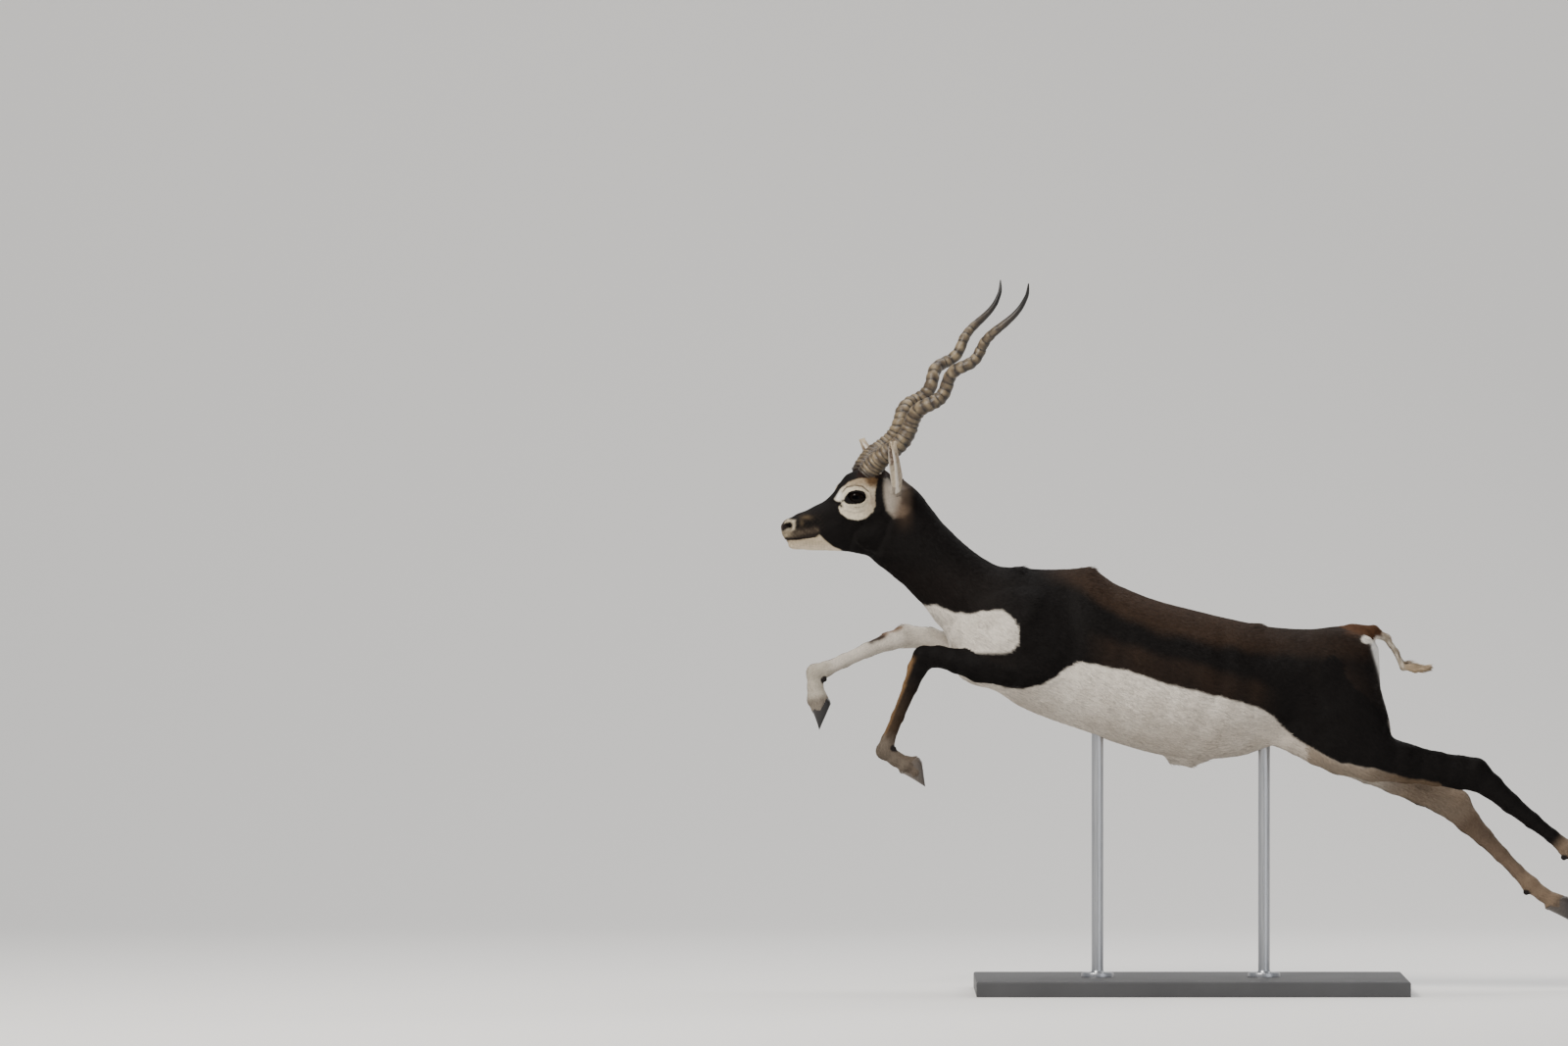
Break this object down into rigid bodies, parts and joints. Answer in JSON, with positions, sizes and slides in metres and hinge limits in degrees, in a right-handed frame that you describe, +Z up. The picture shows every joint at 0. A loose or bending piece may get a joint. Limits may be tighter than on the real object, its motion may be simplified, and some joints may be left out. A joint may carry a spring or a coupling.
{
  "type": "blackbuck model",
  "caption": "Life-size still model of an adult male blackbuck in mid leap with spiral horns, held over a flat display base by two rods.",
  "frame": {"origin": "centre of the underside of the stand's base plate", "axes": "+Z up; +X toward the tail, so the animal faces -X; its left side faces -Y"},
  "size_m": [1.5538, 0.48, 1.3215],
  "materials": {
    "coat": "short dark brown-black hair with a slight sheen",
    "coat_pale": "short off-white hair",
    "coat_tan": "short tan and grey-brown hair",
    "eye": "wet gloss",
    "horn": "dry ringed horn, darker and smoother at the tip",
    "hoof": "satin dark grey horn",
    "stand_base": "matt dark grey paint on board",
    "stand_rod": "brushed"
  },
  "bodies": {
    "root": {"head": "coat", "neck": "coat", "chest": "coat", "belly": "coat", "rump": "coat", "tail": "coat", "foreleg_left_forearm": "coat", "hindleg_left_thigh": "coat", "hindleg_right_thigh": "coat", "hindleg_left_shank": "coat", "hindleg_right_shank": "coat", "hindleg_left_cannon": "coat", "hindleg_right_cannon": "coat", "ear_left": "coat_pale", "ear_right": "coat_pale", "foreleg_right_forearm": "coat_pale", "foreleg_right_cannon": "coat_pale", "foreleg_right_foot": "coat_pale", "foreleg_left_cannon": "coat_tan", "foreleg_left_foot": "coat_tan", "hindleg_left_foot": "coat_tan", "hindleg_right_foot": "coat_tan", "eye_left": "eye", "horn_left": "horn", "foreleg_left_hoof_outer": "hoof", "foreleg_left_hoof_inner": "hoof", "hindleg_left_hoof_outer": "hoof", "hindleg_left_hoof_inner": "hoof", "eye_right": "eye", "horn_right": "horn", "foreleg_right_hoof_outer": "hoof", "foreleg_right_hoof_inner": "hoof", "hindleg_right_hoof_outer": "hoof", "hindleg_right_hoof_inner": "hoof", "stand_base": "stand_base", "stand_rod_front": "stand_rod", "stand_rod_rear": "stand_rod"}
  },
  "joints": []
}
